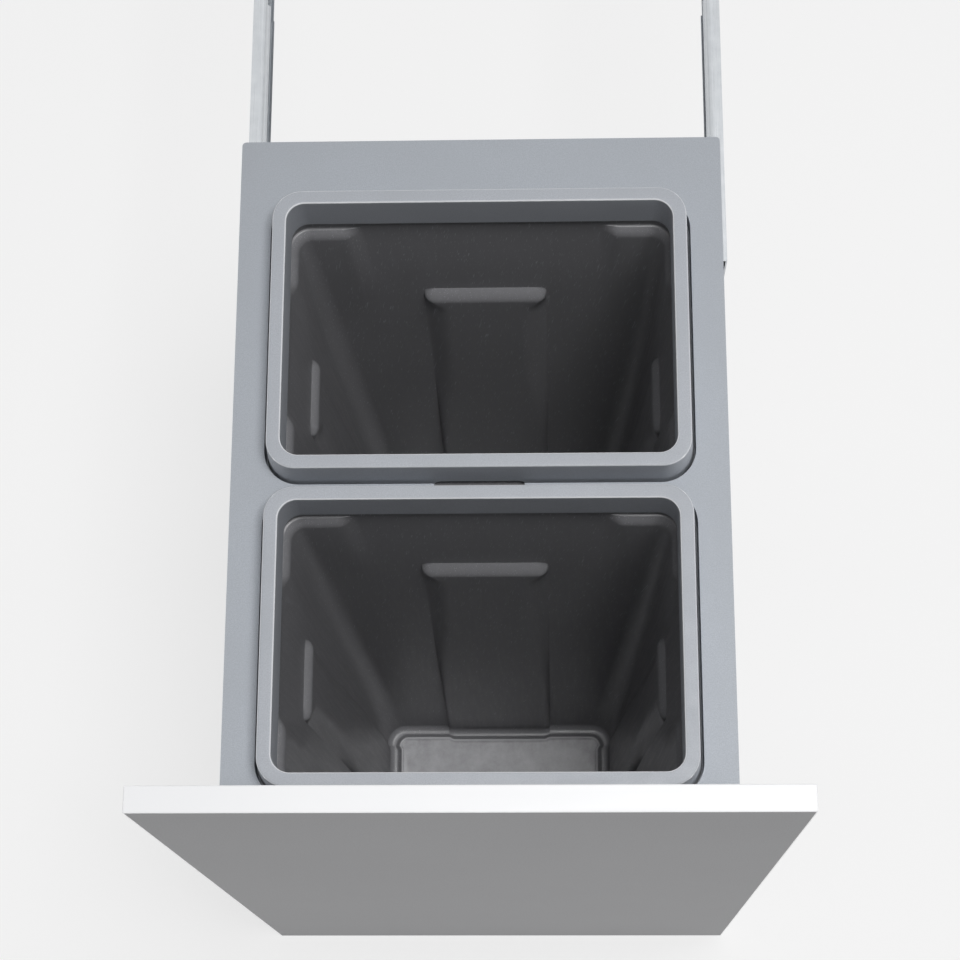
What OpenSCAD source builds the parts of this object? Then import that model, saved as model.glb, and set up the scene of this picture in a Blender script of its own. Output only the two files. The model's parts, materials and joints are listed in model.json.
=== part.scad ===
// Pull-out bin frame for a narrow base cabinet, drawn pulled out.
// A steel carrier plate hangs two lift-out bins, each with a loose bag ring, between two side plates.
// Ball-bearing runners carry the frame, and a tall front panel is screwed to its front brackets.
// X is across the cabinet, +Y goes into the cabinet, +Z is up. Y = 0 is the plane of the cabinet front,
// X = 0 is the middle of the cabinet and Z = 0 is the lower edge of the front panel.

/* [Cabinet and front panel] */
// Width of the front panel over its edge band
panel_w = 397; // [380:1:460]
// Distance of the panel's side edges from the outer faces of the cabinet
panel_side_gap = 1; // [0.5:0.5:2]
// Thickness of one cabinet side, whose front edge the rubber buffers meet
cabinet_side_t = 18; // [15:0.5:22]
// Height of the front panel over its edge band
panel_h = 776; // [700:1:860]
// Thickness of the front panel
panel_t = 16; // [14:0.5:25]
// Thickness of the edge band
band_t = 1; // [0.6:0.1:2]
// Height of the panel's top edge above the carrier plate
panel_over = 172; // [120:1:220]
// Gap between the panel and the cabinet front when shut, which is the height of the rubber buffers
shut_gap = 2; // [1:0.5:4]
// Diameter of a rubber buffer
buffer_d = 9; // [6:0.5:12]
// Height of the upper and lower buffers from the panel's ends
buffer_in = 40; // [20:1:80]

/* [Runners] */
// Travel of the frame from pulled out to shut
travel = 434; // [360:1:440]
// Length of the cabinet rail
runner_l = 450; // [440:1:520]
// Height of a runner
runner_h = 45; // [43:0.5:50]
// Thickness of a runner, from the cabinet side to the side plate
runner_t = 12.7; // [12.5:0.1:14]
// Wall of the rolled rails
rail_wall = 1.2; // [1:0.05:1.3]
// Distance of the cabinet rail from the cabinet front
rail_set_back = 2; // [1:0.5:5]
// Height of the carrier plate above the middle of the runners
rail_drop = 140; // [110:1:160]
// Length of the rubber stop in the back of a cabinet rail
stop_l = 6; // [4:0.5:12]
// Diameter of the balls between the cabinet rail and the middle rail
outer_ball_d = 5; // [4.8:0.1:5.2]
// Diameter of the balls between the middle rail and the drawer rail
inner_ball_d = 4; // [3.8:0.1:4.2]
// Play between a ball and its race
race_gap = 0.2; // [0.15:0.01:0.25]
// Length of a ball cage
cage_l = 190; // [150:1:200]
// Thickness of the cage strip
cage_t = 0.8; // [0.6:0.05:0.85]
// Balls in one row of a cage
row_balls = 7; // [4:1:9]
// Diameter of the screw holes in the cabinet rails
cabinet_hole_d = 6.6; // [4:0.1:7]
// Distance of the first screw hole from the cabinet front
cabinet_hole_y = 37; // [30:1:45]
// Raster of the holes in a cabinet side
hole_raster = 32; // [25:1:32]
// Length of the release lever
lever_l = 66; // [50:1:80]
// Height of the release lever
lever_h = 5; // [4:0.5:6]

/* [Carrier plate and frame] */
// Sheet thickness of the carrier plate
plate_t = 1.5; // [1:0.1:2]
// Plate left behind the rear ring
rear_margin = 49; // [42:1:60]
// Plate left in front of the front ring
front_margin = 20.5; // [18:0.5:40]
// Plate left beside the rings
side_margin = 26.3; // [24:0.1:32]
// Depth of the folds along the front and back of the plate
fold_h = 18; // [10:1:22]
// Depth of the collar round each bin opening
collar_h = 15; // [13:0.5:18]
// Width of the ledge that carries a bin's rim
ledge_w = 7; // [6:0.5:8]
// Gap between the panel and the front fold of the plate
plate_gap = 1; // [0.5:0.1:2]
// Sheet thickness of the side plates and cross bars
side_t = 1.5; // [1.2:0.1:2]
// Height of the side plates
side_h = 190; // [185:1:230]
// Width of the side plates' top flange
flange_w = 14; // [13:0.5:15]
// Width of the side plates' bottom flange
foot_w = 12; // [8:0.5:16]
// Sheet thickness of the front brackets
bracket_t = 2; // [1.5:0.1:3]
// Height of the front brackets
bracket_h = 330; // [280:1:360]
// Width of the brackets' legs
bracket_w = 30; // [26:1:34]
// Height of a cross bar
bar_h = 28; // [24:1:34]
// Width of a cross bar's lower leg
bar_w = 16; // [12:0.5:17]

/* [Fasteners] */
// Diameter of the weld studs and of the rail screws
small_d = 4; // [3:0.5:5]
// Diameter of the frame bolts
bolt_d = 5; // [4:0.5:6]
// Diameter of the chipboard screws in the front panel
wood_screw_d = 4; // [3:0.5:5]
// Length of the chipboard screws under the head
wood_screw_l = 14; // [10:1:15]
// Play of a screw or bolt in its hole, on the diameter
hole_play = 0.5; // [0.3:0.1:0.8]
// Play of a thread in its nut or pilot hole, on the diameter
thread_play = 0.1; // [0.05:0.01:0.2]
// Travel of a frame bolt in the height slot of the front bracket
slot_travel = 8; // [4:1:12]

/* [Bag rings] */
// Depth of a ring across its top, front to back
ring_l = 200.5; // [190:0.5:203]
// Distance between the two rings at their tops
ring_gap = 12.5; // [12:0.5:16]
// Height of the ring's top above the carrier plate
ring_rise = 25.5; // [20:0.5:32]
// Width of the ring's top face
ring_face = 9.5; // [9:0.25:11]
// Wall of the ring
ring_wall = 2; // [1.6:0.1:2.4]
// Outward flare of the ring's outer wall from top to bottom
ring_flare = 2.5; // [1.5:0.1:2.8]
// Outer corner radius at the ring's top
ring_r = 20; // [17:0.5:26]
// Width of the finger notches in the rings' front and back walls and of the dip between them
notch_w = 61; // [40:1:90]
// Height of the finger notches and of the dip
notch_h = 9.5; // [6:0.5:12]
// Gap between the ring's foot and the opening of the carrier plate
hole_gap = 1.5; // [1:0.1:1.6]

/* [Bins] */
// Depth of a bin below the carrier plate
bin_d = 575; // [420:1:585]
// Wall of a bin
bin_wall = 2.5; // [2:0.1:3]
// Floor of a bin
bin_floor = 3; // [2:0.1:5]
// Rim that hangs on the ledge, thickness
rim_t = 2; // [1.5:0.1:3]
// Gap between the rim and the collar
rim_gap = 1; // [0.6:0.1:1.5]
// Gap between the bin's lip and the ring's outer wall, for the bag's edge
lip_gap = 2; // [1.5:0.1:2.2]
// Height of the bin's lip above the carrier plate
lip_rise = 12; // [6:0.5:16]
// Draft of the side walls from top to bottom
taper_x = 34; // [20:1:38]
// Draft of the front and back walls from top to bottom
taper_y = 46; // [24:1:48]
// Corner radius near the bin's floor
bin_foot_r = 30; // [20:1:36]
// Height of the rounded turn from wall to floor
foot_turn = 9; // [6:1:16]
// Inset of the floor from the turn
foot_inset = 6; // [4:1:10]
// Depth that the pressed-in wall panels stand into the bin
press_in = 7; // [4:0.5:9]
// Width of the pressed-in panels of the front and back walls
press_w = 88; // [60:1:100]
// Width of the pressed-in panels of the side walls
press_side_w = 56; // [40:1:64]
// Depth of the panels' top ledge below the carrier plate
press_drop = 122; // [80:1:160]
// Inward step of the corner shoulders below the rim
shoulder_in = 2.5; // [1.5:0.1:3]
// Depth of the corner shoulders below the carrier plate
shoulder_drop = 22; // [18:0.5:30]
// Length of a corner shoulder along the front and back walls
shoulder_x = 43; // [30:1:55]
// Length of a corner shoulder along the side walls
shoulder_y = 33; // [24:1:40]
// Height of the raised field of the floor
field_h = 4; // [2:0.5:6]
// Margin of the raised field from the walls at the floor
field_in = 10; // [8:1:20]

/* [Hidden] */
$fn = 48;
hull_fn = 32;
slab_t = 0.5;

// Widths of the cabinet between its sides, of the frame between the runners and of a ring across its top
cabinet_w = panel_w + 2 * (panel_side_gap - cabinet_side_t);
frame_w = cabinet_w - 2 * runner_t;
ring_w = frame_w - 2 * side_margin;

// Places along Y, all with the frame pulled out
plate_l = front_margin + 2 * ring_l + ring_gap + rear_margin;
panel_back = -(travel + shut_gap);
plate_front = panel_back + plate_gap;
plate_back = plate_front + plate_l;
rear_y = plate_back - rear_margin - ring_l / 2;
front_y = rear_y - ring_l - ring_gap;
side_front = plate_front + plate_t + plate_gap;
side_back = plate_back - plate_t - plate_gap;

// Places along Z
plate_z = panel_h - panel_over;
rail_z = plate_z - rail_drop;
flange_z = plate_z - plate_t;
ledge_z = plate_z - collar_h + plate_t;
rim_z = ledge_z + rim_t;
ring_top = plate_z + ring_rise;
side_bottom = flange_z - side_h;

// Rail lengths and places
rail_end_gap = 1;
drawer_rail_l = runner_l - stop_l - 2 * rail_end_gap;
middle_rail_l = drawer_rail_l - 6 * rail_end_gap;
cabinet_rail_front = rail_set_back;
cabinet_rail_back = rail_set_back + runner_l;
cabinet_hole_n = 3;
cabinet_hole_room = (cabinet_rail_back - cabinet_hole_y - cabinet_hole_d) / (cabinet_hole_n - 1);
cabinet_hole_pitch = hole_raster * floor(cabinet_hole_room / hole_raster);
drawer_rail_front = rail_set_back + rail_end_gap - travel;
drawer_rail_back = drawer_rail_front + drawer_rail_l;
middle_rail_front = drawer_rail_front + (drawer_rail_l - middle_rail_l) / 2 + travel / 2;
middle_rail_back = middle_rail_front + middle_rail_l;
outer_cage_front = (cabinet_rail_front + middle_rail_back - cage_l) / 2;
inner_cage_front = (middle_rail_front + drawer_rail_back - cage_l) / 2;
cage_end = 11;
ball_pitch = (cage_l - 2 * cage_end) / (row_balls - 1);

// Runner section: u is measured from the cabinet side, v from the middle of the runner
web_gap = 1.5;
neck = 0.6;
lip_clear = 0.7;
outer_r = outer_ball_d / 2 + race_gap;
inner_r = inner_ball_d / 2 + race_gap;
middle_web_u = rail_wall + web_gap;
outer_u = middle_web_u + rail_wall + outer_r;
outer_v = runner_h / 2 - rail_wall - outer_r;
inner_u = runner_t - lip_clear - rail_wall - inner_r;
inner_v = outer_v - outer_r - rail_wall + neck - rail_wall - inner_r;
drawer_web_u = runner_t - rail_wall;
bridge_t = 0.8 * rail_wall;
lip_angle = 5;
middle_outer_angle = 335;
middle_inner_angle = 178;
hook_angle = 220;

// Ball cages: a strip between the webs with an arm along each row of balls
cage_clear = 0.4;
outer_arm_rise = 0.8;
outer_arm_over = 1.6;
outer_arm_reach = outer_u + outer_arm_over;
outer_arm_v = outer_v + outer_arm_rise;
outer_strip_u = rail_wall + (web_gap - cage_t) / 2;
inner_arm_drop = 0.25;
inner_arm_over = 1.4;
inner_arm_reach = inner_u + inner_arm_over;
inner_arm_v = inner_v - inner_arm_drop - cage_t;
inner_strip_u = middle_web_u + rail_wall + cage_clear;

// Release lever on its rivet in the drawer rail
lever_t = 3;
lever_clear = 0.5;
lever_pin_d = 4;
lever_play = 0.3;
lever_tail = 14;
lever_y = middle_rail_front - lever_tail;
lever_u = drawer_web_u - lever_clear - lever_t;

// Fastener sizes from their diameters
function head_d(d) = 1.9 * d;
function head_h(d) = 0.5 * d;
function nut_d(d) = 2 * d;
function nut_h(d) = 0.8 * d;

// Rail screws
rail_screw_in = 30;
rail_screw_ys = [
    drawer_rail_front + rail_screw_in,
    lever_y - lever_l,
    drawer_rail_back - rail_screw_in
];

// Weld studs that hold the plate on the side plates' flanges
stud_n = 4;
stud_in = 40;
stud_x = frame_w / 2 - side_t - (flange_w - side_t) / 2;
stud_end = 1;
stud_l = side_t + nut_h(small_d) + stud_end;
stud_ys = [for (i = [0 : stud_n - 1])
    side_front + stud_in + i * (side_back - side_front - 2 * stud_in) / (stud_n - 1)];

// Front brackets and cross bars
bracket_clear = 6;
bracket_top = plate_z - fold_h - bracket_clear;
bracket_bottom = bracket_top - bracket_h;
foot_clear = 4;
bar_foot_clear = 1;
bar_bottom = side_bottom + side_t + bar_foot_clear;
bar_bolt_z = bar_bottom + bar_h / 2;
bar_tab_w = 20;
front_bar_clear = 3;
rear_bar_clear = 2;
front_bar_front = panel_back + bracket_t + front_bar_clear;
rear_bar_back = side_back - rear_bar_clear;
front_bolt_y = front_bar_front + side_t + bar_tab_w / 2;
rear_bolt_y = rear_bar_back - side_t - bar_tab_w / 2;
upper_bolt_in = 20;
upper_bolt_zs = [bracket_top - upper_bolt_in, rail_z + runner_h / 2 + head_d(bolt_d)];
panel_screw_in = 30;
panel_screw_zs = [for (i = [0 : 2])
    bracket_bottom + panel_screw_in + i * (bracket_h - 2 * panel_screw_in) / 2];
panel_screw_share = 0.6;
panel_screw_x = frame_w / 2 - side_t - bracket_w * panel_screw_share;

// Sizes that the ring, the bin and the plate's opening share
ring_foot_w = ring_w + 2 * ring_flare;
ring_foot_l = ring_l + 2 * ring_flare;
hole_w = ring_foot_w + 2 * hole_gap;
hole_l = ring_foot_l + 2 * hole_gap;
hole_r = ring_r + ring_flare + hole_gap;
mouth_w = ring_w - 2 * ring_face;
mouth_l = ring_l - 2 * ring_face;
mouth_r = ring_r - ring_face + ring_wall;
rim_w = hole_w - 2 * rim_gap;
rim_l = hole_l - 2 * rim_gap;
rim_r = hole_r - rim_gap;
bin_w = ring_w - 2 * (ring_wall + lip_gap);
bin_l = ring_l - 2 * (ring_wall + lip_gap);
bin_r = ring_r - ring_wall - lip_gap;
bin_bottom = plate_z - bin_d;
lip_top = plate_z + lip_rise;
stretch_follow = 0.7;

// Colours
steel_finish = "#c9ccd0";
coat_finish = "#a4a8ae";
ring_finish = "#b4b7bc";
bin_finish = "#3d3d40";
dark_rubber = "#2a2a2c";

// Plane shapes
module rounded(w, l, r) {
    square([w - 2 * r, l], center = true);
    square([w, l - 2 * r], center = true);
    for (sx = [-1, 1], sy = [-1, 1])
        translate([sx * (w / 2 - r), sy * (l / 2 - r)]) circle(r = r);
}

// Part of a round race, between the angles a0 and a1
module race(r0, r1, a0, a1) {
    steps = 4;
    intersection() {
        difference() {
            circle(r = r1);
            circle(r = r0);
        }
        polygon([[0, 0], for (i = [0 : steps]) let (a = a0 + (a1 - a0) * i / steps)
            2 * r1 * [cos(a), sin(a)]]);
    }
}

// A profile in u and v, drawn out along Y beside the left cabinet side
module along_y(y0, y1) {
    translate([-cabinet_w / 2, y1, rail_z]) rotate([90, 0, 0]) linear_extrude(y1 - y0) children();
}

// A slab of a rounded outline, for hulls
module slab(w, l, r, z) {
    translate([0, 0, z]) linear_extrude(slab_t) hull()
        for (sx = [-1, 1], sy = [-1, 1])
            translate([sx * (w / 2 - r), sy * (l / 2 - r)]) circle(r = r, $fn = hull_fn);
}

// Screw, bolt and nut along +X from the plane of the head's or nut's seat
module screw_x(d, l) {
    translate([-head_h(d), 0, 0]) rotate([0, 90, 0]) cylinder(d = head_d(d), h = head_h(d));
    rotate([0, 90, 0]) cylinder(d = d, h = l);
}

module nut_z(d) {
    difference() {
        cylinder(d = nut_d(d), h = nut_h(d), $fn = 6);
        translate([0, 0, -1]) cylinder(d = d + thread_play, h = nut_h(d) + 2);
    }
}

module hole_x(d, x0, x1) {
    translate([x0, 0, 0]) rotate([0, 90, 0]) cylinder(d = d, h = x1 - x0);
}

// Runner, left side
module cabinet_rail_profile() {
    translate([0, -runner_h / 2]) square([rail_wall, runner_h]);
    for (m = [0, 1]) mirror([0, m]) {
        translate([0, runner_h / 2 - rail_wall]) square([outer_u, rail_wall]);
        translate([outer_u, outer_v]) race(outer_r, outer_r + rail_wall, -lip_angle, 90);
    }
}

module middle_rail_profile() {
    translate([middle_web_u, -outer_v]) square([rail_wall, 2 * outer_v]);
    for (m = [0, 1]) mirror([0, m]) {
        translate([outer_u, outer_v]) race(outer_r, outer_r + rail_wall, 180, middle_outer_angle);
        translate([inner_u, inner_v]) race(inner_r, inner_r + rail_wall, -lip_angle, middle_inner_angle);
        translate([outer_u, outer_v - outer_r - rail_wall]) square([inner_u - outer_u, bridge_t]);
    }
}

module drawer_rail_profile() {
    foot_v = inner_v - inner_r;
    translate([drawer_web_u, -foot_v]) square([rail_wall, 2 * foot_v]);
    for (m = [0, 1]) mirror([0, m]) {
        translate([inner_u, foot_v - rail_wall]) square([runner_t - inner_u, rail_wall]);
        translate([inner_u, inner_v]) race(inner_r, inner_r + rail_wall, hook_angle, 270);
    }
}

module cabinet_rail() {
    difference() {
        along_y(cabinet_rail_front, cabinet_rail_back) cabinet_rail_profile();
        for (i = [0 : cabinet_hole_n - 1])
            translate([-cabinet_w / 2, cabinet_hole_y + i * cabinet_hole_pitch, rail_z])
                hole_x(cabinet_hole_d, -1, rail_wall + 1);
    }
}

// Rubber block in the back of the cabinet rail, which stops the other two rails
module rail_stop() {
    along_y(cabinet_rail_back - stop_l, cabinet_rail_back)
        translate([rail_wall, -inner_v]) square([drawer_web_u - rail_wall, 2 * inner_v]);
}

module middle_rail() {
    along_y(middle_rail_front, middle_rail_back) middle_rail_profile();
}

module drawer_rail() {
    difference() {
        along_y(drawer_rail_front, drawer_rail_back) drawer_rail_profile();
        for (y = rail_screw_ys)
            translate([-cabinet_w / 2, y, rail_z])
                hole_x(small_d + hole_play, drawer_web_u - 1, runner_t + 1);
    }
    translate([-cabinet_w / 2, lever_y, rail_z])
        hole_x(lever_pin_d, lever_u - lever_clear, drawer_web_u + rail_wall / 2);
}

module release_lever() {
    translate([-cabinet_w / 2 + lever_u, lever_y, rail_z]) difference() {
        translate([0, lever_tail - lever_l, -lever_h / 2]) cube([lever_t, lever_l, lever_h]);
        hole_x(lever_pin_d + lever_play, -1, lever_t + 1);
    }
}

module ball_row(y0, u, v, d) {
    for (i = [0 : row_balls - 1], m = [-1, 1])
        translate([-cabinet_w / 2 + u, y0 + cage_end + i * ball_pitch, rail_z + m * v]) sphere(d = d);
}

module outer_balls() {
    ball_row(outer_cage_front, outer_u, outer_v, outer_ball_d);
}

module inner_balls() {
    ball_row(inner_cage_front, inner_u, inner_v, inner_ball_d);
}

// Section of a ball cage: a strip at u0 with an arm at each edge, out to reach
module cage_profile(u0, reach, arm_v) {
    difference() {
        translate([u0, -arm_v - cage_t]) square([reach - u0, 2 * (arm_v + cage_t)]);
        translate([u0 + cage_t, -arm_v]) square([reach - u0, 2 * arm_v]);
    }
}

module outer_cage() {
    difference() {
        along_y(outer_cage_front, outer_cage_front + cage_l)
            cage_profile(outer_strip_u, outer_arm_reach, outer_arm_v);
        outer_balls();
    }
}

module inner_cage() {
    difference() {
        along_y(inner_cage_front, inner_cage_front + cage_l)
            cage_profile(inner_strip_u, inner_arm_reach, inner_arm_v);
        inner_balls();
    }
}

module left_cabinet_rail() { color(steel_finish) cabinet_rail(); }
module right_cabinet_rail() { color(steel_finish) mirror([1, 0, 0]) cabinet_rail(); }
module left_rail_stop() { color(dark_rubber) rail_stop(); }
module right_rail_stop() { color(dark_rubber) mirror([1, 0, 0]) rail_stop(); }
module left_outer_cage() { color("gray") outer_cage(); }
module right_outer_cage() { color("gray") mirror([1, 0, 0]) outer_cage(); }
module left_outer_balls() { color("white") outer_balls(); }
module right_outer_balls() { color("white") mirror([1, 0, 0]) outer_balls(); }
module left_middle_rail() { color(steel_finish) middle_rail(); }
module right_middle_rail() { color(steel_finish) mirror([1, 0, 0]) middle_rail(); }
module left_inner_cage() { color("gray") inner_cage(); }
module right_inner_cage() { color("gray") mirror([1, 0, 0]) inner_cage(); }
module left_inner_balls() { color("white") inner_balls(); }
module right_inner_balls() { color("white") mirror([1, 0, 0]) inner_balls(); }
module left_drawer_rail() { color(steel_finish) drawer_rail(); }
module right_drawer_rail() { color(steel_finish) mirror([1, 0, 0]) drawer_rail(); }
module left_release_lever() { color(dark_rubber) release_lever(); }
module right_release_lever() { color(dark_rubber) mirror([1, 0, 0]) release_lever(); }

// Screws through the drawer rails into the side plates, and their nuts
module rail_screws() {
    grip = rail_wall + side_t + nut_h(small_d);
    color(steel_finish) for (s = [0, 1], y = rail_screw_ys) mirror([s, 0, 0])
        translate([-frame_w / 2 - rail_wall, y, rail_z]) screw_x(small_d, grip);
}

module rail_nuts() {
    color(steel_finish) for (s = [0, 1], y = rail_screw_ys) mirror([s, 0, 0])
        translate([-frame_w / 2 + side_t, y, rail_z]) rotate([0, 90, 0]) nut_z(small_d);
}

// Carrier plate with two bin openings, each with a collar and a ledge, and a finger dip between them
module bin_places() {
    for (y = [rear_y, front_y]) translate([0, y, 0]) children();
}

module carrier_plate() {
    strip_w = ring_l + ring_gap - hole_l;
    color(coat_finish) difference() {
        plate_sheet();
        translate([0, (rear_y + front_y) / 2, plate_z]) mirror([0, 0, 1])
            finger_notch(strip_w + 2 * hole_gap);
    }
}

module plate_sheet() {
    corner_r = 3;
    mid_y = (plate_front + plate_back) / 2;
    fold_w = frame_w - 2 * corner_r;
    translate([0, 0, flange_z]) linear_extrude(plate_t) difference() {
        translate([0, mid_y]) rounded(frame_w, plate_l, corner_r);
        bin_places() rounded(hole_w, hole_l, hole_r);
    }
    bin_places() {
        translate([0, 0, plate_z - collar_h]) linear_extrude(collar_h) difference() {
            rounded(hole_w + 2 * plate_t, hole_l + 2 * plate_t, hole_r + plate_t);
            rounded(hole_w, hole_l, hole_r);
        }
        translate([0, 0, ledge_z - plate_t]) linear_extrude(plate_t) difference() {
            rounded(hole_w + plate_t, hole_l + plate_t, hole_r + plate_t / 2);
            rounded(hole_w - 2 * ledge_w, hole_l - 2 * ledge_w, hole_r - ledge_w);
        }
    }
    for (y = [plate_front, plate_back - plate_t])
        translate([-fold_w / 2, y, plate_z - fold_h]) cube([fold_w, plate_t, fold_h - plate_t / 2]);
    for (sx = [-1, 1], y = stud_ys)
        translate([sx * stud_x, y, flange_z - stud_l]) cylinder(d = small_d, h = stud_l + plate_t / 2);
}

module plate_nuts() {
    color(steel_finish) for (sx = [-1, 1], y = stud_ys)
        translate([sx * stud_x, y, flange_z - side_t - nut_h(small_d)]) nut_z(small_d);
}

// Bolt places of one side, as [y, z], and the height slots of the brackets at them
front_bolts = [for (z = upper_bolt_zs) [front_bolt_y, z], [front_bolt_y, bar_bolt_z]];
rear_bolts = [[rear_bolt_y, bar_bolt_z]];

// Side plate with an inward flange at its top and, behind the front bracket, at its bottom, left side
module side_plate() {
    side_l = side_back - side_front;
    foot_in = panel_back + bracket_w + foot_clear - side_front;
    difference() {
        translate([-frame_w / 2, side_front, side_bottom]) union() {
            cube([side_t, side_l, side_h]);
            translate([0, 0, side_h - side_t]) cube([flange_w, side_l, side_t]);
            translate([0, foot_in, 0]) cube([foot_w, side_l - foot_in, side_t]);
        }
        for (y = stud_ys)
            translate([-stud_x, y, flange_z - side_t - 1])
                cylinder(d = small_d + hole_play, h = side_t + 2);
        for (y = rail_screw_ys)
            translate([-frame_w / 2, y, rail_z]) hole_x(small_d + hole_play, -1, side_t + 1);
        for (p = concat(front_bolts, rear_bolts))
            translate([-frame_w / 2, p[0], p[1]]) hole_x(bolt_d + hole_play, -1, side_t + 1);
    }
}

module left_side_plate() { color(coat_finish) side_plate(); }
module right_side_plate() { color(coat_finish) mirror([1, 0, 0]) side_plate(); }

// Cross bar: a folded angle with a tab at each end, standing on x = half_w inside the frame
module cross_bar(half_w, y_wall, y_dir, bolt_y) {
    leg_y = y_dir > 0 ? y_wall : y_wall - bar_w;
    web_y = y_dir > 0 ? y_wall : y_wall - side_t;
    tab_y = y_dir > 0 ? y_wall : y_wall - side_t - bar_tab_w;
    difference() {
        union() {
            translate([-half_w, web_y, bar_bottom]) cube([2 * half_w, side_t, bar_h]);
            translate([-half_w, leg_y, bar_bottom]) cube([2 * half_w, bar_w, side_t]);
            for (x = [-half_w, half_w - side_t])
                translate([x, tab_y, bar_bottom]) cube([side_t, bar_tab_w + side_t, bar_h]);
        }
        for (s = [0, 1]) mirror([s, 0, 0])
            translate([-half_w, bolt_y, bar_bolt_z]) hole_x(bolt_d + hole_play, -1, side_t + 1);
    }
}

module rear_cross_bar() {
    color(coat_finish) cross_bar(frame_w / 2 - side_t, rear_bar_back, -1, rear_bolt_y);
}

module front_cross_bar() {
    color(coat_finish) cross_bar(frame_w / 2 - side_t - bracket_t, front_bar_front, 1, front_bolt_y);
}

// Front bracket: one leg on the side plate with height slots, one on the back of the panel, left side
module front_bracket() {
    slot_w = bolt_d + hole_play;
    difference() {
        translate([-frame_w / 2 + side_t, panel_back, bracket_bottom]) union() {
            cube([bracket_t, bracket_w, bracket_h]);
            cube([bracket_w, bracket_t, bracket_h]);
        }
        for (p = front_bolts) translate([-frame_w / 2 + side_t, p[0], p[1]]) {
            for (dz = [-slot_travel / 2, slot_travel / 2])
                translate([0, 0, dz]) hole_x(slot_w, -1, bracket_t + 1);
            translate([-1, -slot_w / 2, -slot_travel / 2]) cube([bracket_t + 2, slot_w, slot_travel]);
        }
        for (z = panel_screw_zs)
            translate([-panel_screw_x, panel_back - 1, z]) rotate([-90, 0, 0])
                cylinder(d = wood_screw_d + hole_play, h = bracket_t + 2);
    }
}

module left_front_bracket() { color(coat_finish) front_bracket(); }
module right_front_bracket() { color(coat_finish) mirror([1, 0, 0]) front_bracket(); }

// Bolts from outside through the side plates, with the nuts inside
function bolt_grip(p) =
    side_t + (p[0] == front_bolt_y ? bracket_t : 0) + (p[1] == bar_bolt_z ? side_t : 0);

module frame_bolts() {
    color(steel_finish) for (s = [0, 1], p = concat(front_bolts, rear_bolts)) mirror([s, 0, 0])
        translate([-frame_w / 2, p[0], p[1]]) screw_x(bolt_d, bolt_grip(p) + nut_h(bolt_d));
}

module frame_nuts() {
    color(steel_finish) for (s = [0, 1], p = concat(front_bolts, rear_bolts)) mirror([s, 0, 0])
        translate([-frame_w / 2 + bolt_grip(p), p[0], p[1]]) rotate([0, 90, 0]) nut_z(bolt_d);
}

// Front panel: a board with pilot holes at its back, an edge band all round, screws and rubber buffers
module front_panel() {
    color("#8b8c8f") difference() {
        translate([-panel_w / 2 + band_t, panel_back - panel_t, band_t])
            cube([panel_w - 2 * band_t, panel_t, panel_h - 2 * band_t]);
        for (sx = [-1, 1], z = panel_screw_zs)
            translate([sx * panel_screw_x, panel_back, z]) rotate([90, 0, 0]) translate([0, 0, -1])
                cylinder(d = wood_screw_d + thread_play, h = wood_screw_l - bracket_t + 2);
    }
}

module edge_band() {
    color("white") translate([0, panel_back - panel_t, 0]) difference() {
        translate([-panel_w / 2, 0, 0]) cube([panel_w, panel_t, panel_h]);
        translate([-panel_w / 2 + band_t, -1, band_t])
            cube([panel_w - 2 * band_t, panel_t + 2, panel_h - 2 * band_t]);
    }
}

module front_screws() {
    color(steel_finish) for (sx = [-1, 1], z = panel_screw_zs)
        translate([sx * panel_screw_x, panel_back + bracket_t, z]) rotate([0, 0, -90])
            screw_x(wood_screw_d, wood_screw_l);
}

module front_buffers() {
    x = cabinet_w / 2 + cabinet_side_t / 2;
    color("white") for (sx = [-1, 1], z = [buffer_in, panel_h - buffer_in])
        translate([sx * x, panel_back, z]) rotate([-90, 0, 0]) cylinder(d = buffer_d, h = shut_gap);
}

// Bag ring: an upturned channel that stands on the bin's rim
module ring() {
    foot = rim_z - slab_t;
    channel_top = ring_top - ring_wall;
    drop = ring_top - rim_z;
    top_flare = ring_flare * ring_wall / drop;
    difference() {
        hull() {
            slab(ring_w, ring_l, ring_r, ring_top - slab_t);
            slab(ring_foot_w, ring_foot_l, ring_r + ring_flare, rim_z);
        }
        difference() {
            hull() {
                slab(ring_w + 2 * (top_flare - ring_wall), ring_l + 2 * (top_flare - ring_wall),
                    ring_r - ring_wall, channel_top - slab_t);
                slab(ring_foot_w - 2 * ring_wall, ring_foot_l - 2 * ring_wall,
                    ring_r + ring_flare - ring_wall, foot);
            }
            translate([0, 0, foot - 1]) linear_extrude(drop + 2)
                rounded(mouth_w + 2 * ring_wall, mouth_l + 2 * ring_wall, mouth_r + ring_wall);
        }
        translate([0, 0, foot - 1]) linear_extrude(drop + 2) rounded(mouth_w, mouth_l, mouth_r);
        for (sy = [-1, 1]) translate([0, sy * (ring_foot_l / 2 - ring_wall / 2), rim_z])
            finger_notch(ring_wall + 2 * ring_flare);
    }
}

// Finger notch with round upper corners, to cut through a wall from its lower edge
module finger_notch(depth) {
    r = notch_h / 2;
    rotate([90, 0, 0]) translate([0, 0, -depth / 2]) linear_extrude(depth) {
        translate([-notch_w / 2 + r, -1]) square([notch_w - 2 * r, notch_h + 1]);
        translate([-notch_w / 2, -1]) square([notch_w, notch_h - r + 1]);
        for (s = [-1, 1]) translate([s * (notch_w / 2 - r), notch_h - r]) circle(r = r);
    }
}

module rear_ring() { color(ring_finish) translate([0, rear_y, 0]) ring(); }
module front_ring() { color(ring_finish) translate([0, front_y, 0]) ring(); }

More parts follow.
